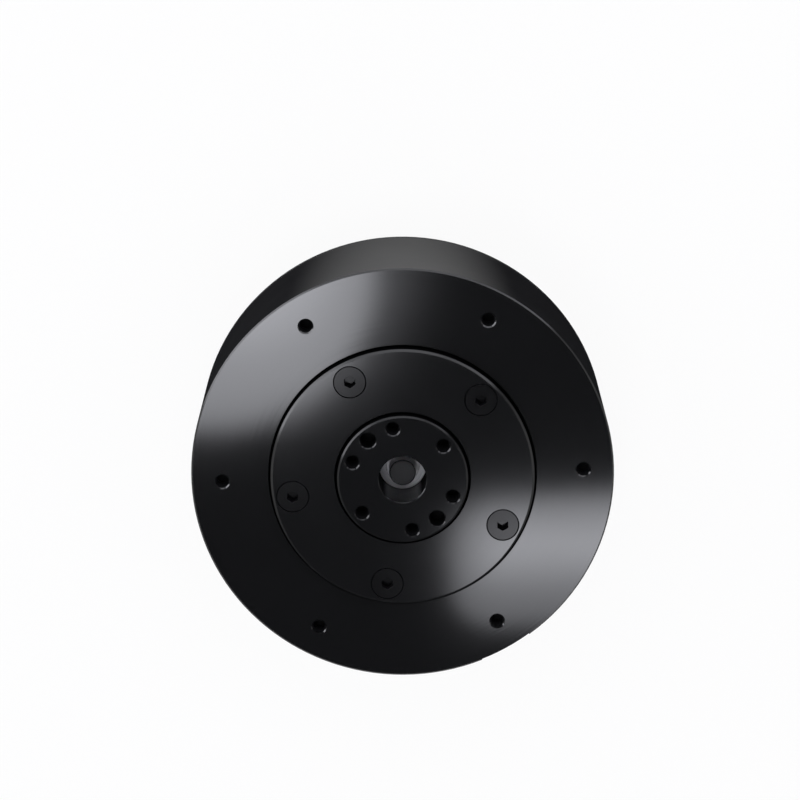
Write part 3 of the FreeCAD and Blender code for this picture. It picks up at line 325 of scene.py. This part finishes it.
def make_finishes():
    """Finishes by node name first, then by the material slot that the CAD gives a node."""
    return {
        # The seam radii below place painted shade on the faces next to the gaps round the gearbox
        # cover and the output flange.
        "front_housing": anodised("can_black", 0.065, 1.5, rim_radius=39.0*MM,
                                  seam_shade_inside=25.3*MM,
                                  polished_above=top_of("front_housing")),
        "gearbox_cover": anodised("gearbox_cover_black", 0.075, 0.6, rim_radius=24.0*MM,
                                  seam_shade_inside=12.85*MM, seam_shade_outside=24.78*MM,
                                  polished_above=top_of("gearbox_cover")),
        "output_flange": anodised("output_flange_black", 0.075, 0.6, 0.2, 0.26,
                                  rim_radius=11.7*MM, seam_shade_outside=12.27*MM,
                                  polished_above=top_of("output_flange")),
        "back_plate": anodised("back_plate_black", 0.2),
        "rear_cover": anodised("rear_cover_black", 0.24),
        "channel_cover": anodised("channel_cover_black", 0.22),
        "cover_screws": anodised("cover_screw_oxide", 0.12, 0.3, 0.3, 0.2,
                                 (0.0024, 0.0024, 0.0027)),
        "black_anodised": anodised("inner_black", 0.25),
        "black_oxide_steel": metal("screw_oxide", (0.02, 0.02, 0.022), 0.32, 0.4),
        "nose_bearing_shield": metal("shield_steel", (0.8, 0.8, 0.81), 0.6, 0.0, 0.1),
        "nose_bearing_outer": metal("nose_outer_steel", (0.76, 0.76, 0.77), 0.55, 0.1, 0.2),
        "nose_bearing_inner": metal("nose_inner_steel", (0.76, 0.76, 0.77), 0.55, 0.1, 0.2),
        "tapped_thread": metal("tapped_thread_black", (0.01, 0.01, 0.011), 0.45, 0.0, 0.12),
        "zinc_steel": metal("zinc_plate", (0.5, 0.5, 0.48), 0.35),
        "bearing_steel": metal("bearing_ring_steel", (0.55, 0.55, 0.56), 0.22),
        "ball_steel": metal("ball_steel", (0.62, 0.62, 0.63), 0.08),
        "gear_steel": metal("gear_steel", (0.36, 0.36, 0.37), 0.3),
        "shaft_steel": shaft_with_painted_light_sides("shaft_steel"),
        "bronze": metal("bush_bronze", (0.43, 0.27, 0.12), 0.35),
        "machined_aluminium": metal("hub_aluminium", (0.6, 0.6, 0.62), 0.3),
        "rotor_steel": metal("rotor_steel", (0.28, 0.28, 0.29), 0.32),
        "magnet_nickel": metal("magnet_nickel", (0.5, 0.48, 0.44), 0.2),
        "lamination_steel": stacked_sheet("stator_sheet"),
        "copper_enamel": wound_wire("coil_wire"),
        "lead_insulation": moulded("lead_silicone", (0.03, 0.03, 0.032), 0.5),
        "board_laminate": laminate("driver_board_laminate"),
        "chip_epoxy": moulded("chip_epoxy", (0.014, 0.014, 0.015), 0.45),
        "capacitor_can": metal("capacitor_can", (0.55, 0.55, 0.57), 0.25),
        "power_nylon": moulded("power_socket_nylon", (0.62, 0.42, 0.03), 0.42),
        "data_nylon": moulded("data_socket_nylon", (0.62, 0.6, 0.53), 0.45),
        "gold_contact": metal("contact_gold", (0.75, 0.5, 0.2), 0.2),
    }


def dress(finishes):
    """Give every CAD node its finish: its own by name, or the one of its material slot."""
    for name, piece in nodes.items():
        slot = piece.data.materials[0].name.split(".")[0]
        finish = finishes.get(name) or finishes[slot]
        for index in range(len(piece.material_slots)):
            piece.material_slots[index].material = finish


# ---- pieces made here -------------------------------------------------------------------------

def add_mesh(name, made, finish, body):
    """A finished piece from a bmesh: outward faces, smooth over its gentle edges."""
    bmesh.ops.remove_doubles(made, verts=made.verts, dist=0.000001)
    bmesh.ops.recalc_face_normals(made, faces=made.faces)
    for face in made.faces:
        face.smooth = True
    for edge in made.edges:
        edge.smooth = len(edge.link_faces) == 2 and edge.calc_face_angle() < math.radians(15)
    mesh = bpy.data.meshes.new(name)
    made.to_mesh(mesh)
    made.free()
    mesh.materials.append(finish)
    piece = bpy.data.objects.new(name, mesh)
    bpy.context.scene.collection.objects.link(piece)
    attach(piece, body)
    return piece


def set_round(whole, made, circle, angle, height):
    """Move a small solid to its place on a circle round the axis, and add it to the whole."""
    place = Vector((circle*math.cos(angle), circle*math.sin(angle), height))
    bmesh.ops.translate(made, vec=place, verts=made.verts)
    one = bpy.data.meshes.new("one_of_them")
    made.to_mesh(one)
    made.free()
    whole.from_mesh(one)
    bpy.data.meshes.remove(one)


def turned_profile(made, profile, steps):
    """A closed solid turned about +Z from a line of radii and heights."""
    corners = [made.verts.new((radius, 0.0, height)) for radius, height in profile]
    line = [made.edges.new(pair) for pair in zip(corners, corners[1:])]
    bmesh.ops.spin(made, geom=corners + line, axis=(0, 0, 1), cent=(0, 0, 0), dvec=(0, 0, 0),
                   angle=math.tau, steps=steps, use_merge=True, use_duplicate=False)
    bmesh.ops.remove_doubles(made, verts=made.verts, dist=0.000001)


def six_sided(made, radius, flats):
    """Moves the rings of that radius on to a hexagon."""
    side = math.radians(60)
    for corner in made.verts:
        if abs(corner.co.xy.length - radius) < 0.00001:
            angle = math.atan2(corner.co.y, corner.co.x)
            reach = flats/2/math.cos(angle % side - side/2)
            corner.co.x, corner.co.y = reach*math.cos(angle), reach*math.sin(angle)


def tapped_threads(name, face, circle, first_angle, count, deep, finish, body):
    """The M3 thread ridge inside each of a ring of tapped holes."""
    hole, ridge, bury, pitch, per_turn, clear = 1.25*MM, 0.11*MM, 0.02*MM, 0.5*MM, 20, 0.6*MM
    turns = int((deep - 2*clear)/pitch)
    all_ridges = bmesh.new()
    for index in range(count):
        made = bmesh.new()
        corners = [made.verts.new((radius, 0.0, height)) for radius, height in
                   ((hole + bury, 0.0), (hole + bury, 0.8*pitch), (hole - ridge, 0.4*pitch))]
        loop = [made.edges.new((corners[side], corners[side - 1])) for side in range(3)]
        bmesh.ops.spin(made, geom=corners + loop, axis=(0, 0, 1), cent=(0, 0, 0),
                       dvec=(0, 0, -pitch/per_turn), angle=math.tau*turns,
                       steps=turns*per_turn, use_merge=False, use_duplicate=False)
        ends = [edge for edge in made.edges if edge.is_boundary]
        bmesh.ops.holes_fill(made, edges=ends, sides=3)
        set_round(all_ridges, made, circle, first_angle + index*math.tau/count,
                  face - clear - pitch)
    piece = add_mesh(name, all_ridges, finish, body)


def cover_screws(finish):
    """Five countersunk M3 screws, each turned as it came to rest, with a rounded mouth to the
    hexagon socket."""
    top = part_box("cover_screws")[1][2]
    circle, first_angle, turns = 21.0*MM, math.radians(44), (27, 33, 24, 31, 28)
    head, rim, edge, shank, length, tip = 2.93*MM, 0.2*MM, 0.04*MM, 1.5*MM, 8.0*MM, 0.3*MM
    flats, socket, mouth, drill, depth, cone = 2.0*MM, 1.1*MM, 1.2*MM, 0.9*MM, 1.9*MM, 0.3*MM
    mouth_flats = flats + 0.06*MM
    all_screws = bmesh.new()
    for index, turn in enumerate(turns):
        made = bmesh.new()
        turned_profile(made, [
            (0.0, -depth), (drill, -depth), (socket, -depth + cone), (socket, -edge),
            (mouth, 0.0), (head - edge, 0.0), (head, -edge), (head, -rim),
            (shank, -rim - head + shank), (shank, tip - length), (shank - tip, -length),
            (0.0, -length)], 48)
        six_sided(made, socket, flats)
        six_sided(made, mouth, mouth_flats)
        bmesh.ops.rotate(made, verts=made.verts, cent=(0, 0, 0),
                         matrix=Matrix.Rotation(math.radians(turn), 3, "Z"))
        set_round(all_screws, made, circle, first_angle + index*math.tau/len(turns), top)
    piece = add_mesh("cover_screws_shaped", all_screws, finish, "root")
    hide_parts("cover_screws")


# ---- stage ------------------------------------------------------------------------------------

COOL_WHITE = (0.97, 0.98, 1.045)
SOFTBOX_HEIGHT = RING_FACE + 0.6


def staged_sheet(name, width, depth, place, finish):
    """A flat sheet of the stage, no part of the object."""
    mesh = bpy.data.meshes.new(name)
    made = bmesh.new()
    bmesh.ops.create_grid(made, x_segments=1, y_segments=1, size=0.5)
    bmesh.ops.scale(made, vec=(width, depth, 1.0), verts=made.verts)
    made.to_mesh(mesh)
    made.free()
    mesh.materials.append(finish)
    sheet = bpy.data.objects.new(name, mesh)
    sheet.location = place
    bpy.context.scene.collection.objects.link(sheet)
    return sheet


def floor():
    """White to the eye and in reflections, and still a little shaded by the object."""
    make = new_finish("studio_floor")
    cloud = make.noise(make.here(), 3.0, 2.0)
    paper = make.principled(base_color=make.blend(cloud, (0.9, 0.9, 0.9), (0.92, 0.92, 0.92)),
                            roughness=0.9, specular_ior_level=0.0)
    white = make.node("Emission", {}, {"Color": (1.0, 1.0, 1.0), "Strength": 1.0})
    ray = make.node("LightPath").socket.node.outputs
    seen = sum(Value(make, ray[name]) for name in
               ("Is Camera Ray", "Is Glossy Ray", "Is Transmission Ray"))
    make.output(make.mixed(seen.math("MINIMUM", 1.0)*0.92, paper, white))
    staged_sheet("floor", 8.0, 8.0, (0, 0, -0.0002), make.owner)


def softbox(name, low, high, layer, strength, soft, round_corner, falloff=1.0):
    """A glowing sheet above the object, from one corner to the other, that fades over the width
    soft at its rounded edges.  Each has a layer of its own, and sheets that overlap add up."""
    width, depth = high[0] - low[0], high[1] - low[1]
    make = new_finish(name)
    x, y, z = make.parts(make.here())
    past_x = (abs(x) - (width/2 - round_corner)).math("MAXIMUM", 0.0)
    past_y = (abs(y) - (depth/2 - round_corner)).math("MAXIMUM", 0.0)
    inside = round_corner - (past_x*past_x + past_y*past_y).math("SQRT")
    glow = make.within(inside, 0.0, soft).math("POWER", falloff)*strength
    light = make.node("Emission", {}, {"Color": COOL_WHITE, "Strength": glow})
    clear = make.node("BsdfTransparent")
    make.output(make.node("AddShader", {}, {0: light, 1: clear}))
    place = ((low[0] + high[0])/2, (low[1] + high[1])/2, SOFTBOX_HEIGHT + layer*MM)
    sheet = staged_sheet(name, width, depth, place, make.owner)
    sheet.visible_camera = False


def lamp(name, width, height, glow, place):
    """An area lamp that faces the object, as bright all over as its glow."""
    data = bpy.data.lights.new(name, "AREA")
    data.shape = "RECTANGLE"
    data.size, data.size_y = width, height
    data.energy = glow*math.pi*width*height
    data.color = COOL_WHITE
    light = bpy.data.objects.new(name, data)
    light.location = place
    aim = Vector((0, 0, RING_FACE/2)) - Vector(place)
    light.rotation_euler = aim.to_track_quat("-Z", "Y").to_euler()
    bpy.context.scene.collection.objects.link(light)


def studio():
    """Softboxes that show in the turned faces, strips that show in the chamfers, plain lamps
    all round, and a world that is bright near the horizon for the walls."""
    floor()
    softbox("softbox_left", (-0.160, -0.157), (-0.008, 0.010), 0, 6.6, 0.012, 0.07)
    softbox("softbox_left_core", (-0.160, -0.130), (-0.016, 0.010), 1, 4.0, 0.03, 0.05)
    softbox("softbox_left_spill", (-0.160, -0.168), (0.028, 0.010), 2, 1.7, 0.04, 0.088, 2.0)
    softbox("softbox_right", (0.008, -0.243), (0.150, -0.179), 3, 4.4, 0.010, 0.022)
    softbox("softbox_right_core", (0.008, -0.230), (0.150, -0.179), 4, 6.4, 0.028, 0.025)
    softbox("softbox_rear_fill", (-0.11, 0.07), (0.11, 0.27), 5, 2.2, 0.05, 0.08)
    for name, width, height, glow, place in (
            ("lamp_left", 1.2, 1.2, 1.2, (-1.1, 0.0, 1.1)),
            ("lamp_right", 1.2, 1.2, 1.2, (1.1, 0.0, 1.1)),
            ("lamp_front", 1.2, 1.2, 1.8, (0.0, 1.1, 1.1)),
            ("lamp_back", 1.2, 1.2, 1.2, (0.0, -1.1, 1.1)),
            ("strip_left", 1.2, 0.3, 6.0, (-0.98, 0.69, 0.17)),
            ("strip_front", 1.2, 0.25, 2.6, (0.0, 1.2, 0.28)),
            ("strip_right", 0.6, 0.25, 2.6, (0.80, 0.88, 0.2))):
        lamp(name, width, height, glow, place)
    world = bpy.data.worlds.new("studio")
    bpy.context.scene.world = world
    make = Finish(world)
    up = make.parts(make.node("TexCoord", {}, {}, "Generated"))[2]
    glow = make.within(up, 0.06, 0.18, 0.9, 0.06)
    sky = make.node("Background", {}, {"Color": (1.0, 1.0, 1.0), "Strength": glow})
    make.output(sky, "OutputWorld")


def camera():
    """Above the output face and a little to the +Y side of it."""
    tilt, roll = math.radians(14.61), math.radians(2.03)
    aside, above, away = -0.000488, 0.01423, 0.557
    data = bpy.data.cameras.new("camera")
    data.sensor_width = 36.0
    data.lens = 133.2
    turned = (Matrix.Rotation(tilt, 3, "X") @ Matrix.Rotation(roll, 3, "Z")).transposed()
    place = turned @ Vector((aside, above, away)) + Vector((0, 0, RING_FACE))
    eye = bpy.data.objects.new("camera", data)
    eye.matrix_world = Matrix.Translation(place) @ turned.to_4x4()
    bpy.context.scene.collection.objects.link(eye)
    bpy.context.scene.camera = eye


camera()
studio()
finishes = make_finishes()
dress(finishes)
cover_screws(finishes["cover_screws"])
tapped_threads("mount_threads", RING_FACE, 34.0*MM, 0.0, 6, 4.0*MM,
               finishes["tapped_thread"], "root")
tapped_threads("output_threads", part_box("output_flange")[1][2], 10.0*MM, math.radians(38.5), 6,
               6.0*MM, finishes["tapped_thread"], "carrier")
bpy.context.scene.view_settings.view_transform = "Standard"
